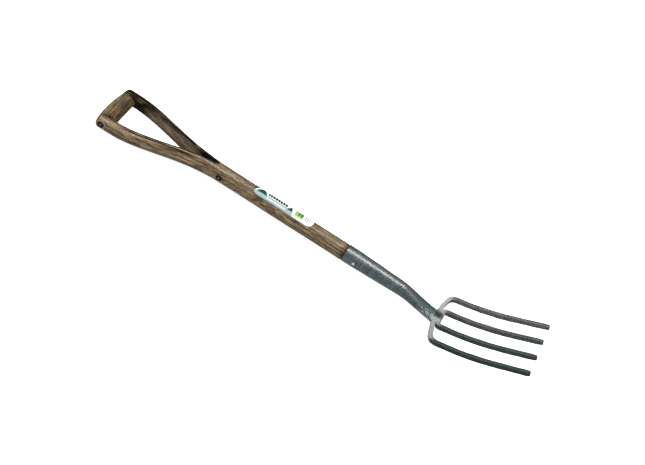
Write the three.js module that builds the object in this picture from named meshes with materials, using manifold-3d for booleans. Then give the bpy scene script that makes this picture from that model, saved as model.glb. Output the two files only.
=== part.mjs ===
// A four-tined digging fork with a wooden D-handle, lying on its back with the tine tips up.
// Millimetres, +Z up. +X runs from the handle's top to the tine tips, +Y across the fork.
// The origin is under the middle of the fork, on the surface that it lies on.
// Every piece is drawn in the tool's own axes: x is the distance from the handle's top along the
// shaft's axis, y = 0 is the middle plane and z = 0 the axis. One group then lays the tool down.
import * as THREE from "three";
import { mergeVertices } from "three/addons/utils/BufferGeometryUtils.js";
import Module from "manifold-3d";

const wasm = await Module();
wasm.setup();

// Driving dimensions
const GAP = 0.3; // clearance between pieces that touch on the real fork
const HANDLE_LENGTH = 711; // a 28 inch handle, with the end that is hidden in the socket
const SHAFT_RADIUS = 18.5;
const ROUND_START = 264; // the shaft is one round bar from here down
const SPLIT_END = 258; // end of the saw cut that makes the two straps
const SPLIT_HALF_WIDTH = 1.6;
const INNER_BEND_START = 264; // the straps' inner faces part from here up to BEND_END
const OUTER_BEND_START = 246; // their outer faces start to spread a little higher up
const BEND_END = 38;
const STRAP_SLIM_START = 254; // a strap goes from half round to a low oval from here up to STRAP_SLIM_END
const STRAP_SLIM_END = 30;
const STRAP_DROP_START = 258; // it comes down to the grip's height from here up to STRAP_SLIM_END
const STRAP_EDGE = 3; // rounding of the edges along a strap's inner face
const STRAP_TOP_INNER = 48.8; // from the fork's middle plane to a strap's inner face, at the grip
const STRAP_TOP_OUTER = 70.1;
const STRAP_TOP_HEIGHT = 28;
const HANDLE_TOP_DROP = 5.3; // the grip lies this far below the shaft's axis
const STRAP_END_RADIUS = 10; // of the strap ends, seen from the side
const STRAP_CORNER = 6; // rounding of their outer corners, seen from above
const CROWN_END = 20; // the strap ends follow the grip's crown down to here
const GRIP_INNER = 38.6;
const GRIP_CROWN_RADIUS = 380;
const GRIP_SKEW = 0.045; // the grip's outer side falls back a little towards its far end
const GRIP_HEIGHT = 25;
const GRIP_RIVET_X = 16.1;
const THROAT_RIVET_X = 273;
const SOCKET_MOUTH = 573;
const SOCKET_MOUTH_RADIUS = 18.9;
const SOCKET_WALL = 2;
const TAPER_STATIONS = [608, 643, 678, 708]; // where the socket's taper is drawn, inside and out
const SOCKET_RIVET_X = 599;
const SOCKET_SAG = 0.8; // the socket bends down a little before its crank
const CRANK_START = 700; // the neck drops from here to CRANK_END
const CRANK_END = 810;
const CRANK_DROP = 16.5;
const NECK_FLAT_START = 712; // the round socket starts to flatten into the neck
const NECK_END = 795.5;
const NECK_HALF_WIDTH = 19;
const NECK_HALF_DEPTH = 7.2;
const BAR = 9.2; // width of the bar that the tines are made of, as seen from above
const BAR_HEIGHT = 11;
const BAR_CHAMFER = 0.3; // chamfer as a fraction of half the bar
const YOKE_X = NECK_END + GAP + BAR / 2; // middle of the outer bar behind the neck
const INNER_YOKE_X = YOKE_X + BAR + GAP;
const TINE_ROOT_X = 828;
const TIP_X = 1011.5;
const TIP_LENGTH = 10; // the tines taper over this length
const TIP_TAPER = 0.8;
const OUTER_ROOT_Y = 75.1;
const OUTER_TIP_Y = 78.9;
const INNER_ROOT_Y = 25;
const INNER_TIP_Y = 26.3;
const TINE_ARC_RADIUS = 510;
const TINE_ARC_LOW_X = 734; // x of the tine arc's lowest point, if it ran on that far
const TINE_ARC_LOW_Z = -18.8;
const TINE_ARC_END_X = 945; // the tines run on straight from here to their tips
const LABEL_START = 346;
const LABEL_END = 487;
const LABEL_HALF_ANGLE = THREE.MathUtils.degToRad(42.5);
const LABEL_THICKNESS = 0.25;
const LYING_TILT = THREE.MathUtils.degToRad(0.42); // the grip's end and the neck weld both touch down

// The rivets lie along Y. `floor` is how far from the middle plane a washer's counterbore ends, or, for
// the rivet without washers, where its heads sit; shank, head and washer are radii.
const WASHER_THICKNESS = 1.5;
const gripRivet = {
  x: GRIP_RIVET_X, z: -HANDLE_TOP_DROP, shank: 2.8, head: 4.2, headHeight: 1.8, floor: 66.7, washer: 7.6,
};
const throatRivet = {
  x: THROAT_RIVET_X, z: 0, shank: 2.4, head: 3.3, headHeight: 1.5, floor: 15.5, washer: 5.9,
};
const socketRivet = { x: SOCKET_RIVET_X, z: 0, shank: 2, head: 3.1, headHeight: 1.1, floor: 18.55 };

const wood = { color: 0x6b4f33, roughness: 0.45, metalness: 0 };
const enamel = { color: 0x5e6b6e, roughness: 0.5, metalness: 0.3 };
const darkSteel = { color: 0x2a2826, roughness: 0.5, metalness: 0.8 };
const brightSteel = { color: 0x9a958c, roughness: 0.35, metalness: 1 };
const copper = { color: 0xc89a6a, roughness: 0.4, metalness: 1 };
const paper = { color: 0xd6e4de, roughness: 0.4, metalness: 0 };

const { lerp, smoothstep, clamp } = THREE.MathUtils;

// Leaves only shared positions, so that a solid's faces join up.
function bare(geometry) {
  geometry.deleteAttribute("normal");
  geometry.deleteAttribute("uv");
  return mergeVertices(geometry, 1e-4);
}

// A closed skin with `sides` corners round it and `steps` stretches along it. place(t, angle, reach)
// gives each corner: t runs 0 to 1 along, angle goes round, and reach is 0 only in the end caps' middles.
function loft(sides, steps, place) {
  const skin = bare(new THREE.CylinderGeometry(1, 1, 1, sides, steps));
  const corners = skin.getAttribute("position");
  for (let i = 0; i < corners.count; i += 1) {
    const angle = Math.atan2(corners.getZ(i), corners.getX(i));
    const reach = Math.hypot(corners.getX(i), corners.getZ(i));
    const point = place(corners.getY(i) + 0.5, angle, reach);
    corners.setXYZ(i, point.x, point.y, point.z);
  }
  return skin;
}

function solid(geometry) {
  const vertProperties = Float32Array.from(geometry.getAttribute("position").array);
  const triVerts = Uint32Array.from(geometry.getIndex().array);
  return new wasm.Manifold(new wasm.Mesh({ numProp: 3, vertProperties, triVerts }));
}

function geometryOf(body) {
  const mesh = body.getMesh();
  const geometry = new THREE.BufferGeometry();
  geometry.setAttribute("position", new THREE.BufferAttribute(mesh.vertProperties, 3));
  geometry.setIndex(new THREE.BufferAttribute(mesh.triVerts, 1));
  return geometry;
}

// A power of a cosine or sine that keeps its sign: it squares up a round outline.
function squared(value, power) {
  return Math.sign(value) * Math.abs(value) ** (2 / power);
}

// A rod along Y, for the bores.
function crossRod(x, z, radius, length) {
  return solid(bare(new THREE.CylinderGeometry(radius, radius, length, 24)).translate(x, 0, z));
}

// The handle's crowned outer side, as seen from above.
function crownAt(y) {
  return 0.4 + y ** 2 / (2 * GRIP_CROWN_RADIUS) + GRIP_SKEW * y;
}

// 1 along a strap, falling off as a quarter circle towards its end.
function endRounding(x, end) {
  const into = clamp((end + STRAP_END_RADIUS - x) / STRAP_END_RADIUS, 0, 1);
  return Math.sqrt(1 - into ** 2);
}

// Runs smoothly from 0 to 1 while x comes up the shaft from `start` to `end`.
function upwards(x, start, end) {
  return smoothstep(start - x, 0, start - end);
}

// A strap: flat inside, rounded outside, from the round shaft up to the grip. side is -1 for the near
// one and 1 for the far one.
function strapAt(side, t, angle, reach) {
  const end = crownAt(side * STRAP_TOP_INNER);
  const x = stationX(t, end);
  const saw = SPLIT_HALF_WIDTH * upwards(x, SPLIT_END, SPLIT_END - 1.5);
  const inner = lerp(saw, STRAP_TOP_INNER, upwards(x, INNER_BEND_START, BEND_END));
  const spread = lerp(SHAFT_RADIUS, STRAP_TOP_OUTER, upwards(x, OUTER_BEND_START, BEND_END));
  const rounding = endRounding(x, end);
  const outer = spread - (1 - rounding) * STRAP_CORNER;
  const slimming = upwards(x, STRAP_SLIM_START, STRAP_SLIM_END);
  const drop = HANDLE_TOP_DROP * upwards(x, STRAP_DROP_START, STRAP_SLIM_END);
  const halfHeight = lerp(SHAFT_RADIUS, STRAP_TOP_HEIGHT / 2, slimming) * lerp(0.4, 1, rounding);
  const edge = STRAP_EDGE * upwards(x, SPLIT_END, SPLIT_END - 30);
  const across = Math.cos(angle);
  const depth = across > 0 ? outer - inner - edge : edge;
  const power = across > 0 ? lerp(2, 2.7, slimming) : 5;
  const out = edge + depth * squared(across, power) * reach;
  const topmost = clamp((CROWN_END - x) / (CROWN_END - end), 0, 1);
  const crown = crownAt(side * (STRAP_TOP_INNER + out)) - end;
  return new THREE.Vector3(
    x + topmost * crown,
    side * (inner + out),
    -side * halfHeight * squared(Math.sin(angle), power) * reach - drop,
  );
}

const STRAP_STEPS = 28;

// Stations along a strap lie close together at the split's end and at the rounded top.
function stationX(t, end) {
  const step = Math.round(t * STRAP_STEPS);
  if (step >= STRAP_STEPS - 2) {
    return [SPLIT_END - 1.5, SPLIT_END, ROUND_START][step - STRAP_STEPS + 2];
  }
  if (step <= 4) {
    return end + (1 - Math.cos((step / 4) * Math.PI / 2)) * 9;
  }
  return lerp(end + 9, SPLIT_END - 1.5, (step - 4) / (STRAP_STEPS - 6));
}

// The socket narrows towards the crank; the shaft's end inside follows its bore.
function socketRadius(x) {
  const along = clamp((x - SOCKET_MOUTH) / 140, 0, 1.1);
  return SOCKET_MOUTH_RADIUS - 3.8 * along ** 1.4;
}

function roundBar(stations, radiusAt) {
  return loft(20, stations.length - 1, (t, angle, reach) => {
    const x = stations[Math.round(t * (stations.length - 1))];
    const radius = radiusAt(x) * reach;
    return new THREE.Vector3(x, -radius * Math.cos(angle), radius * Math.sin(angle));
  });
}

function shaftGeometry() {
  const shoulder = 2.5;
  const inSocket = (x) => socketRadius(x) - SOCKET_WALL - GAP;
  const stations = [
    ROUND_START, SOCKET_MOUTH - shoulder, SOCKET_MOUTH - 0.5, ...TAPER_STATIONS, HANDLE_LENGTH,
  ];
  const bar = roundBar(stations, (x) => {
    if (x <= SOCKET_MOUTH - shoulder) {
      return SHAFT_RADIUS;
    }
    return x === HANDLE_LENGTH ? inSocket(x) - 2 : inSocket(x);
  });
  const strap = (side) => loft(20, STRAP_STEPS, (...at) => strapAt(side, ...at));
  return geometryOf(
    solid(bar)
      .add(solid(strap(-1)))
      .add(solid(strap(1)))
      .subtract(crossRod(GRIP_RIVET_X, -HANDLE_TOP_DROP, gripRivet.shank + GAP, 160))
      .subtract(counterbores(gripRivet))
      .subtract(crossRod(THROAT_RIVET_X, 0, throatRivet.shank + GAP, 50))
      .subtract(counterbores(throatRivet))
      .subtract(crossRod(SOCKET_RIVET_X, 0, socketRivet.shank + GAP, 50)),
  );
}

function counterbores(rivet) {
  const depth = 20;
  const rod = crossRod(rivet.x, rivet.z, rivet.washer + GAP, depth);
  const offset = rivet.floor + depth / 2;
  return rod.translate(0, -offset, 0).add(rod.translate(0, offset, 0));
}

function latheOf(points, x, z) {
  const profile = points.map(([radius, y]) => new THREE.Vector2(radius, y));
  return bare(new THREE.LatheGeometry(profile, 24)).translate(x, 0, z);
}

// Shank with a low domed head at each end; headSeat is where the heads start.
function rivetGeometry(rivet, headSeat) {
  const dome = (side) => [
    [rivet.shank, side * headSeat],
    [rivet.head, side * headSeat],
    [rivet.head, side * (headSeat + rivet.headHeight * 0.4)],
    [rivet.head * 0.72, side * (headSeat + rivet.headHeight * 0.85)],
    [0, side * (headSeat + rivet.headHeight)],
  ];
  return latheOf([...dome(-1).reverse(), ...dome(1)], rivet.x, rivet.z);
}

function washerGeometry(rivet, side) {
  const seat = side * (rivet.floor + GAP);
  const face = side * (rivet.floor + GAP + WASHER_THICKNESS);
  const bore = rivet.shank + GAP;
  const ring = [[bore, seat], [rivet.washer, seat], [rivet.washer, face], [bore, face], [bore, seat]];
  return latheOf(side > 0 ? ring : ring.reverse(), rivet.x, rivet.z);
}

// The cross bar fills the space between the straps; its outer side is crowned for the palm.
function gripGeometry() {
  const halfLength = STRAP_TOP_INNER - GAP;
  const bar = loft(20, 10, (t, angle, reach) => {
    const y = lerp(halfLength, -halfLength, t);
    const outer = crownAt(y);
    const middle = (outer + GRIP_INNER) / 2;
    const out = squared(Math.cos(angle), 2.5) * reach;
    return new THREE.Vector3(
      middle + out * (outer - GRIP_INNER) / 2,
      y,
      -HANDLE_TOP_DROP + squared(Math.sin(angle), 2.3) * reach * GRIP_HEIGHT / 2,
    );
  });
  const hole = crossRod(GRIP_RIVET_X, -HANDLE_TOP_DROP, gripRivet.shank + GAP, 160);
  return geometryOf(solid(bar).subtract(hole));
}

// Height of the socket's and the neck's middle line.
function neckDrop(x) {
  const sag = SOCKET_SAG * smoothstep(x, SOCKET_MOUTH, CRANK_START);
  return -sag - CRANK_DROP * smoothstep(x, CRANK_START, CRANK_END);
}

// The socket's outer skin between two places along it, grown outwards by grow(t): round at the mouth,
// wide and flat at the neck's end.
function neckSkin(steps, start, end, grow) {
  return loft(24, steps, (t, angle, reach) => {
    const x = lerp(start, end, t);
    const flat = smoothstep(x, NECK_FLAT_START, NECK_END + 6);
    const across = lerp(socketRadius(x), NECK_HALF_WIDTH, flat) + grow(t);
    const deep = lerp(socketRadius(x), NECK_HALF_DEPTH, flat) + grow(t);
    const power = lerp(2, 2.3, flat);
    return new THREE.Vector3(
      x,
      -across * squared(Math.cos(angle), power) * reach,
      neckDrop(x) + deep * squared(Math.sin(angle), power) * reach,
    );
  });
}

// Tapered round socket that turns into a wide, flat, cranked neck.
function socketGeometry() {
  const skin = neckSkin(18, SOCKET_MOUTH, NECK_END, () => 0);
  const [boreEnd, boreTip] = [HANDLE_LENGTH + 2, HANDLE_LENGTH + 7];
  const bore = roundBar([SOCKET_MOUTH - 1, ...TAPER_STATIONS, boreEnd, boreTip], (x) => {
    return x > boreEnd ? 5 : socketRadius(x) - SOCKET_WALL;
  });
  return geometryOf(
    solid(skin)
      .subtract(solid(bore))
      .subtract(crossRod(SOCKET_RIVET_X, 0, socketRivet.shank + GAP, 50)),
  );
}

// Height of the tine bars' middle line: part of a wide arc that curves up to the tips.
function tineHeight(x) {
  const run = Math.min(x, TINE_ARC_END_X) - TINE_ARC_LOW_X;
  const rise = Math.sqrt(TINE_ARC_RADIUS ** 2 - run ** 2);
  const beyond = Math.max(x - TINE_ARC_END_X, 0);
  return TINE_ARC_LOW_Z + TINE_ARC_RADIUS - rise + beyond * run / rise;
}

// A U-shaped bar from tip to tip. half is its plan outline from one tip to the middle plane.
function tinePair(half) {
  const plan = [...half, ...half.slice(0, -1).reverse().map((p) => new THREE.Vector2(p.x, -p.y))];
  const line = plan.map((p) => new THREE.Vector3(p.x, p.y, tineHeight(Math.max(p.x, YOKE_X))));
  const last = line.length - 1;
  return loft(8, last, (t, angle, reach) => {
    const i = Math.round(t * last);
    const along = line[Math.min(i + 1, last)].clone().sub(line[Math.max(i - 1, 0)]).normalize();
    const across = along.clone().cross(new THREE.Vector3(0, 0, 1)).normalize();
    const up = across.clone().cross(along);
    const c = Math.cos(angle + Math.PI / 8);
    const s = Math.sin(angle + Math.PI / 8);
    const wide = Math.abs(c) > Math.abs(s);
    const share = (tipTaper(line[i].x) * reach) / 2;
    const sideways = BAR * share * Math.sign(c) * (wide ? 1 : 1 - BAR_CHAMFER);
    const lift = BAR_HEIGHT * share * Math.sign(s) * (wide ? 1 - BAR_CHAMFER : 1);
    return line[i].clone().addScaledVector(across, sideways).addScaledVector(up, lift);
  });
}

function tipTaper(x) {
  return lerp(1, TIP_TAPER, clamp((x - (TIP_X - TIP_LENGTH)) / TIP_LENGTH, 0, 1));
}

// Straight in plan from tip to root, in short stretches because it curves upwards.
function tinePlan(tipY, rootY) {
  const stretches = 10;
  const points = [new THREE.Vector2(TIP_X, tipY)];
  for (let i = 0; i <= stretches; i += 1) {
    const t = i / stretches;
    points.push(new THREE.Vector2(lerp(TIP_X - TIP_LENGTH, TINE_ROOT_X, t), lerp(tipY, rootY, t)));
  }
  return points;
}

function outerTinesGeometry() {
  const root = new THREE.Vector2(TINE_ROOT_X, -OUTER_ROOT_Y);
  const shoulderEnd = new THREE.Vector2(YOKE_X + 6, -57);
  const shoulder = new THREE.CubicBezierCurve(
    root, new THREE.Vector2(YOKE_X + 15, -OUTER_ROOT_Y), new THREE.Vector2(YOKE_X + 8.4, -70), shoulderEnd,
  );
  const arm = new THREE.QuadraticBezierCurve(
    shoulderEnd, new THREE.Vector2(YOKE_X, -30), new THREE.Vector2(YOKE_X, -12),
  );
  return tinePair([
    ...tinePlan(-OUTER_TIP_Y, -OUTER_ROOT_Y),
    ...shoulder.getSpacedPoints(8).slice(1),
    ...arm.getSpacedPoints(5).slice(1),
    new THREE.Vector2(YOKE_X, 0),
  ]);
}

function innerTinesGeometry() {
  const corner = 6.5;
  const bend = new THREE.Path();
  bend.absarc(INNER_YOKE_X + corner, corner - INNER_ROOT_Y, corner, -Math.PI / 2, -Math.PI, true);
  return tinePair([
    ...tinePlan(-INNER_TIP_Y, -INNER_ROOT_Y),
    ...bend.getSpacedPoints(5),
    new THREE.Vector2(INNER_YOKE_X, 0),
  ]);
}

// Weld bead round the neck's flat end, widening on to the back of the yoke.
function neckWeldGeometry() {
  const bead = neckSkin(3, NECK_END - 6, NECK_END, (t) => 0.5 + 0.7 * t ** 2);
  const hole = neckSkin(1, NECK_END - 7, NECK_END + 1, () => GAP * 1.5);
  return geometryOf(solid(bead).subtract(solid(hole)));
}

// A thin sticker bent round the top of the shaft, with rounded ends.
function labelGeometry() {
  const inner = SHAFT_RADIUS + GAP;
  const outer = inner + LABEL_THICKNESS;
  const middle = Math.PI / 2;
  const arc = new THREE.Shape();
  arc.absarc(0, 0, outer, middle - LABEL_HALF_ANGLE, middle + LABEL_HALF_ANGLE, false);
  arc.absarc(0, 0, inner, middle + LABEL_HALF_ANGLE, middle - LABEL_HALF_ANGLE, true);
  arc.closePath();
  const length = LABEL_END - LABEL_START;
  const strip = new THREE.ExtrudeGeometry(arc, { depth: length, bevelEnabled: false, curveSegments: 12 });
  strip.rotateX(Math.PI / 2).rotateZ(Math.PI / 2).translate(LABEL_START, 0, 0);
  const outline = new THREE.Shape();
  const halfWidth = outer * Math.sin(LABEL_HALF_ANGLE) + 0.5;
  const [start, end, round] = [LABEL_START - 0.1, LABEL_END + 0.1, 11];
  outline.absarc(start + round, -halfWidth + round, round, Math.PI, 1.5 * Math.PI, false);
  outline.absarc(end - round, -halfWidth + round, round, 1.5 * Math.PI, 2 * Math.PI, false);
  outline.absarc(end - round, halfWidth - round, round, 0, 0.5 * Math.PI, false);
  outline.absarc(start + round, halfWidth - round, round, 0.5 * Math.PI, Math.PI, false);
  outline.closePath();
  const block = new THREE.ExtrudeGeometry(outline, { depth: 40, bevelEnabled: false, curveSegments: 6 });
  return geometryOf(solid(bare(strip)).intersect(solid(bare(block))));
}

const tool = new THREE.Group();

function addPiece(name, geometry, look) {
  const mesh = new THREE.Mesh(geometry, new THREE.MeshStandardMaterial(look));
  mesh.name = name;
  tool.add(mesh);
}

const seated = (rivet) => rivet.floor + WASHER_THICKNESS + 2 * GAP;

addPiece("shaft", shaftGeometry(), wood);
addPiece("grip", gripGeometry(), wood);
addPiece("grip_rivet", rivetGeometry(gripRivet, seated(gripRivet)), brightSteel);
addPiece("grip_washer_near", washerGeometry(gripRivet, -1), darkSteel);
addPiece("grip_washer_far", washerGeometry(gripRivet, 1), darkSteel);
addPiece("throat_rivet", rivetGeometry(throatRivet, seated(throatRivet)), brightSteel);
addPiece("throat_washer_near", washerGeometry(throatRivet, -1), darkSteel);
addPiece("throat_washer_far", washerGeometry(throatRivet, 1), darkSteel);
addPiece("socket", socketGeometry(), enamel);
addPiece("socket_rivet", rivetGeometry(socketRivet, socketRivet.floor + GAP), copper);
addPiece("outer_tines", outerTinesGeometry(), enamel);
addPiece("inner_tines", innerTinesGeometry(), enamel);
addPiece("neck_weld", neckWeldGeometry(), enamel);
addPiece("label", labelGeometry(), paper);

// Lay the tool down, then put the origin under its middle.
tool.rotation.y = -LYING_TILT;
const box = new THREE.Box3().setFromObject(tool, true);
const centre = box.getCenter(new THREE.Vector3());
tool.position.set(-centre.x, -centre.y, -box.min.z);

const fork = new THREE.Group();
fork.add(tool);

export default fork;
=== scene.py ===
"""Looks of a garden digging fork that lies on its back on a pale floor.

Shapes are worked out in the tool's own axes, in millimetres: x is the distance from the handle's top
along the shaft, y runs across the fork and z is up from the shaft's axis. place() then carries them to
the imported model's frame, in metres.
"""
import math

import bmesh
import bpy
from mathutils import Matrix, Vector, noise


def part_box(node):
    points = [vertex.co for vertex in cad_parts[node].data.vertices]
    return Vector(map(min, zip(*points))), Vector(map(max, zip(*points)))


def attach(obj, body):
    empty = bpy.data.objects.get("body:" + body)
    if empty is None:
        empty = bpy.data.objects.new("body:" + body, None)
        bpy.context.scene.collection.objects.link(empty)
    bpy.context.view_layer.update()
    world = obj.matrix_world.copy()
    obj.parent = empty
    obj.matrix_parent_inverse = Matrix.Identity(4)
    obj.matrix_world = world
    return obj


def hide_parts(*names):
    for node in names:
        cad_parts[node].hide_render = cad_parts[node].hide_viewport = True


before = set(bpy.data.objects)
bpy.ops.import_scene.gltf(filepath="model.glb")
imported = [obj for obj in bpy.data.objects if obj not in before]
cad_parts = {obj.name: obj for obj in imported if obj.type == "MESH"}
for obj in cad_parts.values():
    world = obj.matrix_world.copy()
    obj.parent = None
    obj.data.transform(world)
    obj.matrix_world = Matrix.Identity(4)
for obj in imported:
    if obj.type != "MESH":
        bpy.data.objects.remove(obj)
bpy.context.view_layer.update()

# Dimensions, in millimetres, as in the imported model
SHAFT_RADIUS = 18.5
SPLIT_END = 258  # end of the saw cut between the straps
SPLIT_HALF_WIDTH = 1.6
HANDLE_LENGTH = 711
INNER_BEND_START = 264
OUTER_BEND_START = 246
BEND_END = 38
STRAP_SLIM_START = 254
STRAP_SLIM_END = 30
STRAP_DROP_START = 258
STRAP_EDGE = 3
STRAP_TOP_INNER = 48.8
STRAP_TOP_OUTER = 70.1
STRAP_TOP_HEIGHT = 28
HANDLE_TOP_DROP = 5.3
STRAP_END_RADIUS = 10
STRAP_CORNER = 6
CROWN_END = 20
GRIP_INNER = 38.6
GRIP_CROWN_RADIUS = 380
GRIP_SKEW = 0.045
GRIP_HEIGHT = 25
SOCKET_MOUTH = 573
SOCKET_MOUTH_RADIUS = 18.9
SOCKET_WALL = 2
SOCKET_SAG = 0.8
SOCKET_NARROWING = 3.8  # how much the socket's radius shrinks along its taper
SOCKET_TAPER = 140
CRANK_START = 700
CRANK_END = 810
CRANK_DROP = 16.5
NECK_FLAT_START = 712
NECK_END = 795.5
NECK_HALF_WIDTH = 19
NECK_HALF_DEPTH = 7.2
GAP = 0.3
BAR = 9.2
BAR_HEIGHT = 11
YOKE_X = NECK_END + GAP + BAR / 2
INNER_YOKE_X = YOKE_X + BAR + GAP
TINE_ROOT_X = 828
TIP_X = 1011.5
TIP_LENGTH = 10
OUTER_ROOT_Y = 75.1
OUTER_TIP_Y = 78.9
INNER_ROOT_Y = 25
INNER_TIP_Y = 26.3
TINE_ARC_RADIUS = 510
TINE_ARC_LOW_X = 734
TINE_ARC_LOW_Z = -18.8
TINE_ARC_END_X = 945
LABEL_START = 346
LABEL_LENGTH = 141
LABEL_HALF_ANGLE = math.radians(42.5)
LABEL_TOP = 0.32  # of the film, above the shaft's surface
LABEL_UNDERSIDE = 0.02
LYING_TILT = math.radians(0.42)
THROAT_CUT = 17.3  # how far the throat counterbores' walls reach from the middle plane
THROUGH_SOCKET = 30
THROUGH_GRIP = 80

# The camera, in the tool's own axes
CAMERA_ELEVATION = math.radians(39.86)
CAMERA_YAW = math.radians(-1.11)
CAMERA_ROLL = math.radians(31.74)
CAMERA_DISTANCE = 3201.8
CAMERA_TARGET = Vector((511.7, 0, 11.46))
CAMERA_LENS = 87.4
CAMERA_SENSOR = 36

# Rivets lie along Y; floor is where a washer's counterbore ends, from the middle plane
GRIP_RIVET = dict(x=16.1, z=-HANDLE_TOP_DROP, shank=2.8, head=4.2, rise=1.8, floor=66.7, washer=7.6)
THROAT_RIVET = dict(x=273, z=0, shank=2.4, head=3.3, rise=1.5, floor=15.5, washer=5.9)
SOCKET_RIVET = dict(x=599, z=0, shank=2.0, head=3.1, rise=1.1, floor=18.55)
WASHER_THICKNESS = 1.5


def lerp(a, b, t):
    return a + (b - a) * t


def clamp(t, low=0.0, high=1.0):
    return max(low, min(high, t))


def smoothstep(x, low, high):
    t = clamp((x - low) / (high - low))
    return t * t * (3 - 2 * t)


def upwards(x, start, end):
    """Runs smoothly from 0 to 1 while x comes up the shaft from start to end."""
    return smoothstep(start - x, 0, start - end)


def squared(value, power):
    """A cosine or sine raised to a power that keeps its sign: it squares up a round outline."""
    return math.copysign(abs(value) ** (2 / power), value)


def place():
    """The tool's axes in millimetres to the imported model's frame in metres, by the socket rivet's axis."""
    low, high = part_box("socket_rivet")
    turn = Matrix.Rotation(-LYING_TILT, 4, "Y") @ Matrix.Scale(0.001, 4)
    corner = (low + high) / 2 - turn @ Vector((SOCKET_RIVET["x"], 0, 0))
    return Matrix.Translation(corner) @ turn


TOOL = place()


# Meshes

def tube(rings, cap_start=True, cap_end=True):
    """Points and faces of a skin through rings of the same number of points."""
    sides = len(rings[0])
    points = [Vector(p) for ring in rings for p in ring]
    faces = []
    for i in range(len(rings) - 1):
        for j in range(sides):
            k = (j + 1) % sides
            faces.append((i * sides + j, i * sides + k, (i + 1) * sides + k, (i + 1) * sides + j))
    if cap_start:
        faces.append(tuple(range(sides))[::-1])
    if cap_end:
        faces.append(tuple(range((len(rings) - 1) * sides, len(rings) * sides)))
    return points, faces


def mesh_object(name, parts, weld=1e-4):
    """One object from (points, faces) parts, with doubled points welded and faces turned outwards."""
    bm = bmesh.new()
    for points, faces in parts:
        corners = [bm.verts.new(p) for p in points]
        for face in faces:
            bm.faces.new([corners[i] for i in face])
    bmesh.ops.remove_doubles(bm, verts=bm.verts, dist=weld)
    bmesh.ops.recalc_face_normals(bm, faces=bm.faces)
    mesh = bpy.data.meshes.new(name)
    bm.to_mesh(mesh)
    bm.free()
    piece = bpy.data.objects.new(name, mesh)
    bpy.context.scene.collection.objects.link(piece)
    return piece


def apply_modifiers(piece):
    depsgraph = bpy.context.evaluated_depsgraph_get()
    mesh = bpy.data.meshes.new_from_object(piece.evaluated_get(depsgraph))
    piece.modifiers.clear()
    old = piece.data
    piece.data = mesh
    bpy.data.meshes.remove(old)


def cut(piece, cutters):
    for cutter in cutters:
        modifier = piece.modifiers.new("cut", "BOOLEAN")
        modifier.operation = "DIFFERENCE"
        modifier.solver = "EXACT"
        modifier.object = cutter
    apply_modifiers(piece)
    for cutter in cutters:
        bpy.data.objects.remove(cutter)


def grow(piece, amount_at):
    """Moves each point along its normal by amount_at(point)."""
    points = [(vertex.co.copy(), vertex.normal.copy()) for vertex in piece.data.vertices]
    for vertex, (co, normal) in zip(piece.data.vertices, points):
        vertex.co = co + normal * amount_at(co)


def wobble(piece, amount, size, seed, stretch=(1, 1, 1)):
    """Moves points along their normals by smooth noise, so that a surface isn't perfectly even."""
    grow(piece, lambda co: amount * noise.noise(Vector([c * s / size + seed for c, s in zip(co, stretch)])))


def finish_piece(piece, material, replaced, coords=None, sharp=35):
    """Stores the material's coordinates, moves the mesh into the frame, shades it and fixes it to the
    body."""
    mesh = piece.data
    if coords:
        attribute = mesh.attributes.new("grain", "FLOAT_VECTOR", "POINT")
        for vertex, value in zip(mesh.vertices, attribute.data):
            value.vector = coords(vertex.co)
    mesh.transform(TOOL)
    bm = bmesh.new()
    bm.from_mesh(mesh)
    for edge in bm.edges:
        edge.smooth = edge.calc_face_angle(0) < math.radians(sharp)
    for face in bm.faces:
        face.smooth = True
    bm.to_mesh(mesh)
    bm.free()
    mesh.materials.clear()
    mesh.materials.append(material)
    mesh.name = piece.name
    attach(piece, "root")
    for node in replaced:
        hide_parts(node)
    return piece


def lathe(name, profile, x, z, sides=48):
    """A turned body round a line along Y; the profile is (radius, y) pairs from one end to the other."""
    rings = []
    for radius, y in profile:
        ring = []
        for j in range(sides):
            angle = 2 * math.pi * j / sides
            ring.append((x + radius * math.cos(angle), y, z + radius * math.sin(angle)))
        rings.append(ring)
    return mesh_object(name, [tube(rings)])


# Wooden handle

ARC = 40  # points round half of the shaft


def crown_at(y):
    """The handle's crowned outer side, as seen from above."""
    return 0.4 + y ** 2 / (2 * GRIP_CROWN_RADIUS) + GRIP_SKEW * y


def end_rounding(x, end):
    into = clamp((end + STRAP_END_RADIUS - x) / STRAP_END_RADIUS)
    return math.sqrt(1 - into ** 2)


def strap_inner(x):
    if x >= SPLIT_END:
        return 0
    saw = SPLIT_HALF_WIDTH * upwards(x, SPLIT_END, SPLIT_END - 1.5)
    return lerp(saw, STRAP_TOP_INNER, upwards(x, INNER_BEND_START, BEND_END))


def strap_drop(x):
    return HANDLE_TOP_DROP * upwards(x, STRAP_DROP_START, STRAP_SLIM_END)


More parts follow.
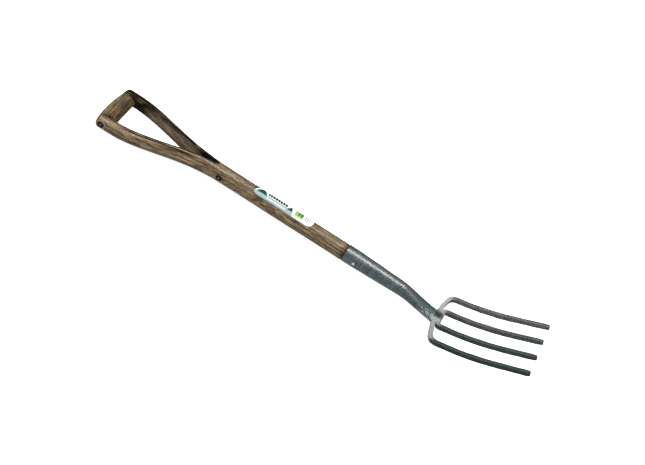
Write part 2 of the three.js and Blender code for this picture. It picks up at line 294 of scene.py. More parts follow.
def strap_ring(x, side):
    """Outline of a strap: its rounded outside first, then its flat inside."""
    end = crown_at(side * STRAP_TOP_INNER)
    inner = strap_inner(x)
    rounding = end_rounding(x, end)
    outer = lerp(SHAFT_RADIUS, STRAP_TOP_OUTER, upwards(x, OUTER_BEND_START, BEND_END))
    outer -= (1 - rounding) * STRAP_CORNER
    slim = upwards(x, STRAP_SLIM_START, STRAP_SLIM_END)
    half_height = lerp(SHAFT_RADIUS, STRAP_TOP_HEIGHT / 2, slim) * lerp(0.4, 1, rounding)
    edge = STRAP_EDGE * upwards(x, SPLIT_END, SPLIT_END - 30)
    ring = []
    for j in range(2 * ARC):
        angle = math.pi * (j / ARC - 0.5)
        outside = j <= ARC
        power = lerp(2, 2.7, slim) if outside else 5
        depth = outer - inner - edge if outside else edge
        across = 0.0 if j % ARC == 0 else math.cos(angle)
        out = edge + depth * squared(across, power)
        topmost = clamp((CROWN_END - x) / (CROWN_END - end))
        crown = topmost * (crown_at(side * (STRAP_TOP_INNER + out)) - end)
        height = half_height * squared(math.sin(angle), power)
        ring.append((x + crown, side * (inner + out), height - strap_drop(x)))
    return ring


def strap_stations(side):
    end = crown_at(side * STRAP_TOP_INNER)
    stations = [end + 14 * (1 - math.cos(math.pi / 2 * i / 12)) for i in range(12)]
    steps = 118
    stations += [lerp(end + 14, SPLIT_END - 3, i / steps) for i in range(steps + 1)]
    return stations + [SPLIT_END - 2, SPLIT_END - 1.4, SPLIT_END - 0.7, SPLIT_END]


def bar_ring(x, radius):
    near = []
    for j in range(ARC + 1):
        angle = math.pi * (j / ARC - 0.5)
        across = 0 if j in (0, ARC) else math.cos(angle)
        near.append((x, -radius * across, radius * math.sin(angle)))
    far = [(x, -y, z) for x, y, z in near[1:-1]]
    return near + far[::-1]


def socket_radius(x):
    run = clamp((x - SOCKET_MOUTH) / SOCKET_TAPER, 0, 1.1)
    return SOCKET_MOUTH_RADIUS - SOCKET_NARROWING * run ** 1.4


def bar_stations():
    """(x, radius) along the round part of the shaft, down to its end in the socket."""
    steps = 130
    round_end = SOCKET_MOUTH - 2
    stations = [(lerp(SPLIT_END, round_end, i / steps), SHAFT_RADIUS) for i in range(steps + 1)]
    for i in range(12):
        x = lerp(SOCKET_MOUTH, HANDLE_LENGTH, i / 11)
        stations.append((x, socket_radius(x) - SOCKET_WALL - GAP))
    return stations + [(HANDLE_LENGTH + 1.5, 10)]


def rivet_cutter(rivet, reach):
    """The hole for a rivet's shank, its washers' counterbores and a small chamfer round them."""
    hole = rivet["shank"] + GAP
    if "washer" not in rivet:
        return lathe("cutter", [(hole, -reach), (hole, reach)], rivet["x"], rivet["z"])
    seat = rivet["washer"] + GAP
    chamfer = [(seat, reach - 1.0), (seat + 3.4, reach + 2.4)]
    half = [(hole, rivet["floor"]), (seat, rivet["floor"])] + chamfer
    profile = [(r, -y) for r, y in half[::-1]] + half
    return lathe("cutter", profile, rivet["x"], rivet["z"])


def straightened(point):
    """Where a point of the shaft was before the straps were bent apart, so that the grain follows them."""
    x, y, z = point
    if x >= SPLIT_END:
        return point
    return (x, y - math.copysign(strap_inner(x), y), z + strap_drop(x))


def make_shaft():
    parts = [tube([strap_ring(x, side) for x in strap_stations(side)], True, False) for side in (-1, 1)]
    parts.append(tube([bar_ring(x, radius) for x, radius in bar_stations()], False, True))
    piece = mesh_object("shaft_wood", parts)
    wobble(piece, 0.35, 38, 3.1, (0.4, 1, 1))
    cut(piece, [
        rivet_cutter(GRIP_RIVET, STRAP_TOP_OUTER),
        rivet_cutter(THROAT_RIVET, THROAT_CUT),
        rivet_cutter(SOCKET_RIVET, THROUGH_SOCKET),
    ])
    material = wood_material("stained_ash_shaft", 0.0)
    return finish_piece(piece, material, ["shaft"], straightened)


def make_grip():
    """The cross bar: its outer side is crowned for the palm and its top falls away to the inner side."""
    half_length = STRAP_TOP_INNER - GAP
    sides, steps = 72, 60
    rings = []
    for i in range(steps + 1):
        y = lerp(half_length, -half_length, i / steps)
        end = clamp((half_length - abs(y)) / 1.2)
        shrink = 1 - 0.03 * (1 - math.sqrt(1 - (1 - end) ** 2))
        outer = crown_at(y)
        middle = (outer + GRIP_INNER) / 2
        ring = []
        for j in range(sides):
            angle = 2 * math.pi * j / sides
            out = squared(math.cos(angle), 2.5) * shrink
            up = squared(math.sin(angle), 2.2) * shrink
            lean = 0.34 * abs(up) * (1 - out ** 2)
            x = middle + (out + lean) * (outer - GRIP_INNER) / 2
            ring.append((x, y, -HANDLE_TOP_DROP + up * GRIP_HEIGHT / 2))
        rings.append(ring)
    piece = mesh_object("grip_wood", [tube(rings)])
    wobble(piece, 0.4, 24, 8.7, (1, 0.4, 1))
    cut(piece, [rivet_cutter(dict(GRIP_RIVET, washer=2), THROUGH_GRIP)])
    return finish_piece(piece, wood_material("stained_ash_grip", 5.0, True), ["grip"],
                        lambda p: (p.y, p.x, p.z))


# Rivets and washers

def round_rivet(rivet):
    """Coordinates measured from a rivet's axis."""
    return lambda p: (p.x - rivet["x"], p.y, p.z - rivet["z"])


def make_rivet(name, rivet, seat, material):
    head, rise = rivet["head"], rivet["rise"]
    dome = [(rivet["shank"], seat), (head * 0.97, seat), (head, seat + rise * 0.12)]
    for i in range(1, 9):
        angle = math.pi / 2 * i / 9
        dome.append((head * math.cos(angle) ** 0.8, seat + rise * lerp(0.12, 1, math.sin(angle))))
    dome.append((head * 0.02, seat + rise))
    profile = [(r, -y) for r, y in dome[::-1]] + dome
    piece = lathe(name + "_body", profile, rivet["x"], rivet["z"])
    return finish_piece(piece, material, [name], round_rivet(rivet))


def make_washer(name, rivet, side, material):
    bore, rim, seat = rivet["shank"] + 0.15, rivet["washer"], rivet["floor"] + GAP
    face = seat + WASHER_THICKNESS
    section = [
        (bore, seat), (rim - 0.4, seat), (rim, seat + 0.4), (rim, face - 0.5), (rim - 0.2, face - 0.12),
        (rim - 0.6, face), (rim - 1.3, face - 0.1), (bore + 0.8, face - 0.45), (bore, face - 0.6),
    ]
    sides = 48
    rings = []
    for j in range(sides + 1):
        angle = 2 * math.pi * j / sides
        right, up = math.cos(angle), math.sin(angle)
        rings.append([(rivet["x"] + r * right, side * y, rivet["z"] + r * up) for r, y in section])
    piece = mesh_object(name + "_ring", [tube(rings, False, False)])
    return finish_piece(piece, material, [name], round_rivet(rivet))


# Steel head

def neck_drop(x):
    sag = SOCKET_SAG * smoothstep(x, SOCKET_MOUTH, CRANK_START)
    return -sag - CRANK_DROP * smoothstep(x, CRANK_START, CRANK_END)


def neck_ring(x, extra=0.0, sides=88):
    flat = smoothstep(x, NECK_FLAT_START, NECK_END + 6)
    across = lerp(socket_radius(x), NECK_HALF_WIDTH, flat) + extra
    deep = lerp(socket_radius(x), NECK_HALF_DEPTH, flat) + extra
    power = lerp(2, 2.3, flat)
    ring = []
    for j in range(sides):
        angle = 2 * math.pi * j / sides
        y = across * squared(math.cos(angle), power)
        ring.append((x, -y, neck_drop(x) + deep * squared(math.sin(angle), power)))
    return ring


def make_socket(material):
    """Tapered socket with a rounded lip, which turns into the flat, cranked neck."""
    bore = [neck_ring(x, -SOCKET_WALL) for x in (712, 700, 660, 620, 590, SOCKET_MOUTH + 0.6)]
    rounding = ((0.1, 1.7), (0, 1.1), (0.15, 0.5), (0.7, 0.05))
    lip = [neck_ring(SOCKET_MOUTH + dx, -inset) for dx, inset in rounding]
    steps = 170
    outside = [neck_ring(lerp(SOCKET_MOUTH + 1.4, NECK_END, i / steps)) for i in range(steps + 1)]
    piece = mesh_object("socket_steel", [tube(bore + lip + outside)])
    wobble(piece, 0.3, 26, 14.2)
    cut(piece, [rivet_cutter(SOCKET_RIVET, THROUGH_SOCKET)])
    return finish_piece(piece, material, ["socket"], tuple)


def tine_height(x):
    run = min(x, TINE_ARC_END_X) - TINE_ARC_LOW_X
    rise = math.sqrt(TINE_ARC_RADIUS ** 2 - run ** 2)
    return TINE_ARC_LOW_Z + TINE_ARC_RADIUS - rise + max(x - TINE_ARC_END_X, 0) * run / rise


def bar_section(corner=1.5):
    """Half-width outline of a square bar with rounded corners, as (across, up) shares."""
    half = BAR / 2
    outline = []
    for quarter in range(4):
        turn = math.pi / 2 * quarter
        for i in range(6):
            angle = turn + math.pi / 2 * i / 5
            mid = math.pi / 4 + turn
            centre = (half - corner) * math.sqrt(2)
            outline.append((
                (centre * math.cos(mid) + corner * math.cos(angle)) / half,
                (centre * math.sin(mid) + corner * math.sin(angle)) / half,
            ))
    return outline


def bezier(points, steps):
    """Points along a quadratic or cubic curve, without the first."""
    out = []
    for i in range(1, steps + 1):
        t = i / steps
        row = [Vector(p) for p in points]
        while len(row) > 1:
            row = [a.lerp(b, t) for a, b in zip(row, row[1:])]
        out.append(row[0])
    return out


def tine_plan(tip_y, root_y):
    """The line of a tine from its tip to its root, with one more point just behind the tip."""
    steps = 92
    shares = [i / steps for i in range(1, steps + 1)]
    points = [Vector((lerp(TIP_X, TINE_ROOT_X, t), lerp(tip_y, root_y, t))) for t in shares]
    return [Vector((TIP_X, tip_y)), Vector((TIP_X - 0.5, tip_y))] + points


def outer_plan():
    root = (TINE_ROOT_X, -OUTER_ROOT_Y)
    shoulder = (YOKE_X + 6, -57)
    return (
        tine_plan(-OUTER_TIP_Y, -OUTER_ROOT_Y)
        + bezier([root, (YOKE_X + 15, -OUTER_ROOT_Y), (YOKE_X + 8.4, -70), shoulder], 30)
        + bezier([shoulder, (YOKE_X, -30), (YOKE_X, -12)], 22)
        + [Vector((YOKE_X, -6)), Vector((YOKE_X, 0))]
    )


def inner_plan():
    corner = 6.5
    bend = []
    for i in range(15):
        angle = -math.pi / 2 - math.pi / 2 * i / 14
        x = INNER_YOKE_X + corner + corner * math.cos(angle)
        bend.append(Vector((x, corner - INNER_ROOT_Y + corner * math.sin(angle))))
    arm = [Vector((INNER_YOKE_X, y)) for y in (-14, -9, -4, 0)]
    return tine_plan(-INNER_TIP_Y, -INNER_ROOT_Y) + bend + arm


def tine_rings(half, extra=0.0):
    plan = half + [Vector((p.x, -p.y)) for p in half[-2::-1]]
    line = [Vector((p.x, p.y, tine_height(max(p.x, YOKE_X)))) for p in plan]
    section = bar_section()
    rings = []
    for i, centre in enumerate(line):
        along = (line[min(i + 1, len(line) - 1)] - line[max(i - 1, 0)]).normalized()
        across = along.cross(Vector((0, 0, 1))).normalized()
        up = across.cross(along)
        to_tip = clamp((centre.x - (TIP_X - TIP_LENGTH)) / TIP_LENGTH)
        rounded = 0.9 if centre.x > TIP_X - 0.1 else 1
        taper = lerp(1, 0.82, to_tip ** 1.5) * rounded
        wide = (BAR / 2 + extra) * taper
        high = (BAR_HEIGHT / 2 + extra) * taper
        rings.append([centre + across * (a * wide) + up * (b * high) for a, b in section])
    return rings


def make_tines(name, half, seed, material):
    piece = mesh_object(name + "_steel", [tube(tine_rings(half))])
    wobble(piece, 0.45, 17, seed)
    return finish_piece(piece, material, [name], tuple, sharp=50)


def make_weld(material):
    """The weld between neck and yoke: neck, bars and bead melted together, which fills their corners."""
    def in_weld(ring, reach):
        return max(abs(p.y) for p in ring) < reach and max(p.x for p in ring) < TINE_ROOT_X + 4

    def middle_part(half, reach):
        return [ring for ring in tine_rings(half, 0.1) if in_weld(ring, reach)]

    neck = [neck_ring(x, 0.1 + 0.8 * smoothstep(x, 784, 794)) for x in range(776, 798, 2)]
    neck.append(neck_ring(799, 0.4))
    bead = ((-17, -15.7), (17, -15.7), (17, -10.7), (-17, -10.7))
    parts = [
        tube(neck),
        tube(middle_part(outer_plan(), 34)),
        tube(middle_part(inner_plan(), 28)),
        tube([[(x, y, z) for y, z in bead] for x in (798, 812)]),
    ]
    piece = mesh_object("weld_bead", parts)
    remesh = piece.modifiers.new("melt", "REMESH")
    remesh.mode = "VOXEL"
    remesh.voxel_size = 0.55
    smooth = piece.modifiers.new("smooth", "SMOOTH")
    smooth.factor = 0.5
    smooth.iterations = 22
    apply_modifiers(piece)
    wobble(piece, 0.5, 5, 21.3)
    grow(piece, lambda co: -0.12)
    return finish_piece(piece, material, ["neck_weld"], tuple, sharp=80)


# Label

def label_half_width(u):
    """Half width of the label at u millimetres from its start: its ends are rounded."""
    full = (SHAFT_RADIUS + GAP) * LABEL_HALF_ANGLE
    start_round, end_round = 10, 11
    if u < start_round:
        return full - 10.5 * (1 - math.sqrt(1 - (1 - u / start_round) ** 2))
    if u > LABEL_LENGTH - end_round:
        into = (u - LABEL_LENGTH + end_round) / end_round
        return full - 12.2 * (1 - math.sqrt(max(0, 1 - into ** 2)))
    return full


def make_label(material):
    """A thin sticker on top of the shaft. Its coordinates are millimetres along and across it."""
    columns = [LABEL_LENGTH * i / 140 for i in range(141)]
    columns[0:1] = [0, 0.08, 0.3, 0.6]
    columns[-1:] = [LABEL_LENGTH - 0.5, LABEL_LENGTH - 0.2, LABEL_LENGTH - 0.04, LABEL_LENGTH]
    rows = 30
    rings = []
    for u in columns:
        half = label_half_width(u)
        ring = []
        for height, steps in ((LABEL_TOP, range(rows + 1)), (LABEL_UNDERSIDE, range(rows, -1, -1))):
            radius = SHAFT_RADIUS + height
            for i in steps:
                v = lerp(-half, half, i / rows)
                angle = v / (SHAFT_RADIUS + GAP)
                ring.append((LABEL_START + u, -radius * math.sin(angle), radius * math.cos(angle)))
        rings.append(ring)
    piece = mesh_object("label_film", [tube(rings)], 1e-5)

    def unrolled(p):
        return (p.x - LABEL_START, math.atan2(-p.y, p.z) * (SHAFT_RADIUS + GAP), 0)

    return finish_piece(piece, material, ["label"], unrolled)


# Materials

class Shader:
    """A node material that is written as nested calls. A value given as a plain number or colour is set
    on the node's own socket."""

    def __init__(self, name):
        self.material = bpy.data.materials.new(name)
        self.material.use_nodes = True
        self.tree = self.material.node_tree
        self.tree.nodes.clear()

    def put(self, socket, value):
        if isinstance(value, bpy.types.NodeSocket):
            self.tree.links.new(value, socket)
        elif value is not None:
            socket.default_value = value

    def node(self, kind, inputs=(), output=0, **settings):
        node = self.tree.nodes.new("ShaderNode" + kind)
        for key, value in settings.items():
            setattr(node, key, value)
        for key, value in dict(inputs).items():
            self.put(node.inputs[key], value)
        return node.outputs[output]

    def math(self, operation, a, b=None, c=None):
        return self.node("Math", {0: a, 1: b, 2: c}, operation=operation)

    def grain(self):
        return self.node("Attribute", attribute_name="grain", output="Vector")

    def millimetres(self):
        metres = self.node("TexCoord", output="Object")
        return self.node("VectorMath", {0: metres, 1: (1000, 1000, 1000)}, operation="MULTIPLY")

    def stretch(self, vector, sizes, offset=(0, 0, 0)):
        """Coordinates in which one unit is `sizes` millimetres."""
        moved = self.node("VectorMath", {0: vector, 1: offset}, operation="ADD")
        return self.node("VectorMath", {0: moved, 1: tuple(1 / s for s in sizes)}, operation="MULTIPLY")

    def noise(self, vector, detail=3.0, roughness=0.55):
        return self.node("TexNoise", {
            "Vector": vector, "Scale": 1.0, "Detail": detail, "Roughness": roughness,
        })

    def ramp(self, value, *stops):
        """Colours or grey values at places from 0 to 1."""
        output = self.node("ValToRGB", {0: value})
        elements = output.node.color_ramp.elements
        while len(elements) < len(stops):
            elements.new(1.0)
        for element, (position, colour) in zip(elements, stops):
            rgb = colour if isinstance(colour, tuple) else (colour,) * 3
            element.position = position
            element.color = (*rgb, 1)
        return output

    def mix(self, factor, a, b, blend="MIX"):
        colour = [(*value, 1) if isinstance(value, tuple) else value for value in (a, b)]
        node = self.tree.nodes.new("ShaderNodeMix")
        node.data_type = "RGBA"
        node.blend_type = blend
        self.put(node.inputs[0], factor)
        self.put(node.inputs[6], colour[0])
        self.put(node.inputs[7], colour[1])
        return node.outputs[2]

    def span(self, value, low, high, to_low=0.0, to_high=1.0):
        return self.node("MapRange", {0: value, 1: low, 2: high, 3: to_low, 4: to_high}, clamp=True)

    def bump(self, height, distance, strength):
        inputs = {"Height": height, "Distance": distance, "Strength": strength}
        return self.node("Bump", inputs)

    def surface(self, **inputs):
        settings = {key.replace("_", " "): value for key, value in inputs.items()}
        shader = self.node("BsdfPrincipled", settings)
        output = self.tree.nodes.new("ShaderNodeOutputMaterial")
        self.tree.links.new(shader, output.inputs["Surface"])
        return self.material


def wood_material(name, shift, grip=False):
    """Dark-stained ash under satin lacquer: tan and brown bands, long black lines and open pores, which
    all follow the grain. Shade is painted in the saw cut, in the corners by the grip, on the grip's ends and
    inner facet, on the far strap's top, just before the socket and towards the bottom. The straps' inner
    top edges and a line along the near strap's top are darker, and a pale ring of painted highlight lies
    round the grip rivet."""
    s = Shader(name)
    at = s.grain()
    x, y, z = s.node("SeparateXYZ", {0: at}).node.outputs
    warp = s.noise(s.stretch(at, (240, 45, 45), (shift, shift, 0)), 1.0)
    bend = s.node("VectorMath", {0: at, 1: s.node("CombineXYZ", {
        1: s.span(warp, 0.2, 0.8, -7, 7), 2: s.span(warp, 0.2, 0.8, 5, -5),
    })}, operation="ADD")
    bands = s.noise(s.stretch(bend, (190, 5.2, 3.6), (shift, 0, 3)), 2.0, 0.55)
    tone = s.ramp(
        bands, (0.34, (0.040, 0.025, 0.013)), (0.43, (0.088, 0.054, 0.024)), (0.50, (0.145, 0.090, 0.036)),
        (0.58, (0.225, 0.147, 0.064)), (0.66, (0.315, 0.205, 0.088)),
    )
    streaks = s.noise(s.stretch(bend, (60, 1.9, 1.9), (7, 0, shift)), 3.0, 0.6)
    lit = s.mix(s.span(streaks, 0.51, 0.66, 0, 0.7), tone, (0.350, 0.265, 0.155))
    shaded = s.mix(s.span(streaks, 0.49, 0.38, 0, 0.85), lit, (0.026, 0.017, 0.010))
    lines = s.noise(s.stretch(bend, (230, 5.2, 4.0), (0, shift, 11)), 1.0, 0.5)
    line_dark = s.ramp(lines, (0.445, 0.0), (0.470, 1.0), (0.510, 1.0), (0.535, 0.0))
    threads = s.noise(s.stretch(bend, (150, 2.3, 1.8), (3, 21, shift)), 1.0, 0.5)
    thread_dark = s.ramp(threads, (0.34, 1.0), (0.43, 0.0))
    breaks = s.noise(s.stretch(at, (34, 10, 10), (shift, 5, 0)), 2.0)
    broken_line = s.math("MULTIPLY", line_dark, s.span(breaks, 0.42, 0.54, 0, 0.9))
    lined = s.mix(broken_line, shaded, (0.012, 0.009, 0.006))
    threaded = s.mix(s.math("MULTIPLY", thread_dark, 0.85), lined, (0.016, 0.011, 0.008))
    pores = s.noise(s.stretch(bend, (7, 0.5, 0.5), (0, 4, shift)), 2.0, 0.5)
    pore_dark = s.ramp(pores, (0.37, 1.0), (0.46, 0.0))
    fibres = s.noise(s.stretch(bend, (26, 1.7, 1.4), (shift, 9, 5)), 2.0, 0.6)
    pale_fibres = s.mix(s.span(fibres, 0.54, 0.68, 0, 0.55), threaded, (0.420, 0.320, 0.190))
    fibred = s.mix(s.span(fibres, 0.47, 0.36, 0, 0.75), pale_fibres, (0.018, 0.012, 0.008))
    porous = s.mix(s.math("MULTIPLY", pore_dark, 0.8), fibred, (0.014, 0.010, 0.007))
    # Painted shade: darker towards the bottom.
    wood = s.mix(s.span(z, -1, -13, 0, 0.45), porous, (0.030, 0.022, 0.015))
    if grip:
        # Painted shade on the grip: at its ends by the straps, on its inner facet and in a dark line along
        # its crest.
        ends = s.math("MULTIPLY", s.span(s.math("ABSOLUTE", x), 33, 45), s.span(y, 10, 20, 0.3, 1))
        facet = s.span(y, 18, 24, 0, 0.5)
        ridge = s.math("MULTIPLY", s.math("COMPARE", y, 20.0, 1.3), 0.7)
        shaded_ends = s.math("MULTIPLY", ends, s.span(breaks, 0.4, 0.5, 0.4, 1))
        painted_shade_and_lines = s.math("MAXIMUM", shaded_ends, s.math("MAXIMUM", facet, ridge))
    else:
        aside = s.math("ABSOLUTE", y)
        # Painted shade in the saw cut between the straps, and a painted shadow of the grip on the straps'
        # inner faces next to it.
        crotch = s.math("MULTIPLY", s.span(x, 200, 220), s.span(x, 261, 258))
        corner = s.math("MULTIPLY", s.span(x, 88, 60), s.span(breaks, 0.38, 0.48, 0.75, 1))
        inner_face = s.math("MULTIPLY", s.span(aside, 2.4, 1.2), s.math("MAXIMUM", crotch, corner))
        # Darker along the straps' inner top edges.
        arris = s.math("MULTIPLY", s.math("COMPARE", aside, 3.0, 2.4), s.span(x, 259, 250))
        # Painted shade on the far strap's top near the grip.
        far_side_top = s.math("MULTIPLY", s.span(y, 1, 3), s.span(z, 3, 7))
        far_top = s.math("MULTIPLY", far_side_top, s.span(x, 150, 75))
        # A dark line along the near strap's top.
        top_line_at = s.math("COMPARE", s.math("ADD", y, s.span(warp, 0.2, 0.8, -3, 3)), -8.5, 1.7)
        along = s.math("MULTIPLY", s.span(x, 45, 75), s.span(x, 215, 185, 0, 0.9))
        top_line = s.math("MULTIPLY", s.math("MULTIPLY", top_line_at, s.span(z, 6, 9)), along)
        # Painted shadow on the wood just before the socket's lip.
        rim = s.math("MULTIPLY", s.span(x, 562, 571, 0, 0.7), s.span(breaks, 0.3, 0.5, 0.5, 1))
        patches = s.math("MAXIMUM", s.math("MAXIMUM", inner_face, far_top), s.math("MAXIMUM", top_line, rim))
        darkened_arris = s.math("MULTIPLY", arris, s.span(breaks, 0.36, 0.46, 0.5, 0.95))
        painted_shade_and_lines = s.math("MAXIMUM", patches, darkened_arris)
        # A painted highlight: a pale ring round the grip rivet's counterbore, where its chamfer catches the
        # light.
        off_rivet = s.node("CombineXYZ", {0: s.math("SUBTRACT", x, GRIP_RIVET["x"]), 1: z})
        from_rivet = s.node("VectorMath", {0: off_rivet}, output="Value", operation="LENGTH")
        wood = s.mix(s.span(from_rivet, 12.0, 8.0, 0, 0.6), wood, (0.40, 0.29, 0.16))
    # Lays the painted shade and dark lines of the mask on the wood.
    colour = s.mix(s.math("MULTIPLY", painted_shade_and_lines, 0.94), wood, (0.007, 0.005, 0.004))
    relief = s.math("ADD", s.math("MULTIPLY", pore_dark, -0.6), s.math("MULTIPLY", streaks, 0.5))
    return s.surface(
        Base_Color=colour, Roughness=s.span(streaks, 0.3, 0.7, 0.54, 0.40),
        Specular_IOR_Level=s.span(painted_shade_and_lines, 0, 1, 0.65, 0.0), Coat_Weight=s.span(painted_shade_and_lines, 0, 1, 0.18, 0.0),
        Coat_Roughness=0.3, Specular_Tint=(1.0, 0.90, 0.78, 1), Normal=s.bump(relief, 0.00035, 0.9),
    )


def enamel_material():
    """Blue-grey hammered enamel: small dimples, dark hollows and pale silvery speckles. It is darker and
    greener on the tines, and rougher and less glossy from the neck on. Light and shade are painted on: a
    pale warm grey of painted light on the yoke, painted shade on the far side of the socket and in a blotch
    where the neck meets the yoke, and pale painted highlights on the neck."""
    s = Shader("hammered_enamel")
    at = s.grain()
    x, y = s.node("SeparateXYZ", {0: at}).node.outputs[:2]
    swirl_inputs = {"Vector": s.stretch(at, (5, 5, 5)), "Scale": 1.0, "Detail": 1.0}
    swirl = s.node("TexNoise", swirl_inputs, output="Color")
    drift = s.node("VectorMath", {0: swirl, 1: (2.0, 2.0, 2.0)}, operation="MULTIPLY")
    bent = s.node("VectorMath", {0: at, 1: drift}, operation="ADD")
    cell_inputs = {"Vector": s.stretch(bent, (2.4, 2.1, 2.1)), "Scale": 1.0, "Smoothness": 0.55}
    cells = s.node("TexVoronoi", cell_inputs, feature="SMOOTH_F1")
    cloud = s.noise(s.stretch(at, (12, 7, 7)), 3.0, 0.6)
    speck = s.noise(s.stretch(bent, (1.9, 1.5, 1.5), (40, 0, 0)), 2.0, 0.6)
    blue_grey = s.ramp(
        cloud, (0.34, (0.044, 0.080, 0.100)), (0.5, (0.074, 0.118, 0.148)), (0.66, (0.115, 0.164, 0.196)),
    )
    on_tine = s.span(x, 797, 808)
    far = s.span(y, -85, 85)
    dark = s.ramp(cloud, (0.34, (0.014, 0.026, 0.022)), (0.66, (0.034, 0.051, 0.046)))
    grey = s.mix(s.span(speck, 0.38, 0.62), (0.050, 0.060, 0.060), (0.28, 0.275, 0.27))
    crank = s.mix(s.span(x, 690, 760, 0, 0.4), blue_grey, (0.030, 0.052, 0.054))
    # Painted shade on the far side of the socket and neck.
    far_flank = s.math("MULTIPLY", s.span(y, 3, 12), s.span(x, 780, 770, 0, 0.35))
    flank = s.mix(far_flank, crank, (0.030, 0.060, 0.058))
    tine_tone = s.mix(s.math("MULTIPLY", s.math("POWER", far, 1.7), 0.75), dark, grey)
    base = s.mix(on_tine, flank, tine_tone)
    hollow = s.mix(s.span(cells, 0.30, 0.7, 0, 0.75), base, (0.016, 0.030, 0.032))
    plain = s.math("MULTIPLY", on_tine, s.math("SUBTRACT", 1.0, far))
    fleck = s.math("MULTIPLY", s.span(speck, 0.54, 0.68, 0, 0.5), s.span(plain, 0.3, 1.0, 1.0, 0.25))
    flecked = s.mix(fleck, hollow, (0.30, 0.29, 0.28))
    facing = s.node("SeparateXYZ", {0: s.node("NewGeometry", output="Normal")}).node.outputs
    # Painted light: the yoke's faces that look up or towards -X are a pale, speckled warm grey, a little
    # darker towards the near side.
    upper = s.math("MAXIMUM", s.span(facing[2], 0.2, 0.6), s.span(facing[0], -0.55, -0.85))
    lit_faces = s.math("MULTIPLY", s.math("MULTIPLY", s.span(x, 789, 797), s.span(x, 819, 808)), upper)
    blotch_at = s.node("VectorMath", {0: at, 1: (801, 2, -9)}, output="Value", operation="DISTANCE")
    clear = s.span(s.math("ADD", blotch_at, s.span(cloud, 0.3, 0.7, -3, 3)), 5, 15)
    speckled_light = s.mix(s.span(speck, 0.40, 0.60), (0.21, 0.22, 0.22), (0.60, 0.60, 0.59))
    light_tone = s.mix(s.span(y, -8, -22, 0, 0.4), speckled_light, (0.20, 0.225, 0.225))
    with_painted_light = s.mix(s.math("MULTIPLY", lit_faces, s.math("MULTIPLY", clear, 0.92)), flecked, light_tone)
    # Painted shade: a dark blotch on the upward faces where the neck meets the yoke.
    blotch_shade = s.math("MULTIPLY", s.math("SUBTRACT", 1.0, clear), s.span(facing[2], 0.2, 0.6, 0, 0.85))
    blotch_shaded = s.mix(blotch_shade, with_painted_light, (0.020, 0.024, 0.022))
    # Painted highlights: pale specks on the near half of the neck.
    on_neck = s.math("MULTIPLY", s.span(x, 752, 770), s.span(x, 798, 790))
    highlight_zone = s.math("MULTIPLY", on_neck, s.span(y, 2, -3))
    highlight_noise = s.noise(s.stretch(at, (5, 2.2, 2.2), (60, 0, 0)), 1.0)
    neck_highlights = s.math("MULTIPLY", highlight_zone, s.span(highlight_noise, 0.52, 0.62, 0, 0.7))
    colour = s.mix(neck_highlights, blotch_shaded, (0.40, 0.44, 0.46))
    height = s.math("ADD", s.math("MULTIPLY", cells, -1.0), s.math("MULTIPLY", speck, 0.5))
    rough = s.math("ADD", s.span(x, 725, 775, 0.34, 0.52), s.span(speck, 0.3, 0.7, 0.06, -0.06))
    glint = s.mix(s.span(x, 735, 775), (1.0, 0.76, 0.60), (0.85, 1.0, 0.97))
    return s.surface(
        Base_Color=colour, Metallic=0.3, Roughness=rough,
        Specular_IOR_Level=s.span(x, 735, 775, 1.0, 0.4), Specular_Tint=glint,
        Coat_Weight=s.span(x, 725, 770, 0.3, 0.05), Coat_Roughness=0.22, Normal=s.bump(height, 0.0005, 0.8),
    )


def steel_material(name, light, dark, metallic, roughness, bright=9.0):
    """Plain metal with fine scuffs and a mottled film of rust or grease; a rivet's head is only bright
    within `bright` millimetres of its middle."""
    s = Shader(name)
    at = s.millimetres()
    mottle = s.noise(s.stretch(at, (1.5, 1.5, 1.5)), 4.0, 0.65)
    scuffs = s.noise(s.stretch(at, (2.5, 2.5, 0.12)), 2.0, 0.5)
    colour = s.mix(s.span(mottle, 0.42, 0.62), light, dark)
    middle = s.node("VectorMath", {0: s.grain(), 1: (1, 0, 1)}, operation="MULTIPLY")
    off_middle = s.node("VectorMath", {0: middle}, output="Value", operation="LENGTH")
    ringed = s.mix(s.span(off_middle, bright, bright + 0.9, 0, 0.93), colour, (0.02, 0.018, 0.016))
    uneven = s.span(scuffs, 0.3, 0.7, roughness - 0.1, roughness + 0.12)
    return s.surface(
        Base_Color=ringed, Metallic=metallic, Roughness=uneven,
        Normal=s.bump(s.math("ADD", mottle, s.math("MULTIPLY", scuffs, 0.4)), 0.00012, 0.6),
    )


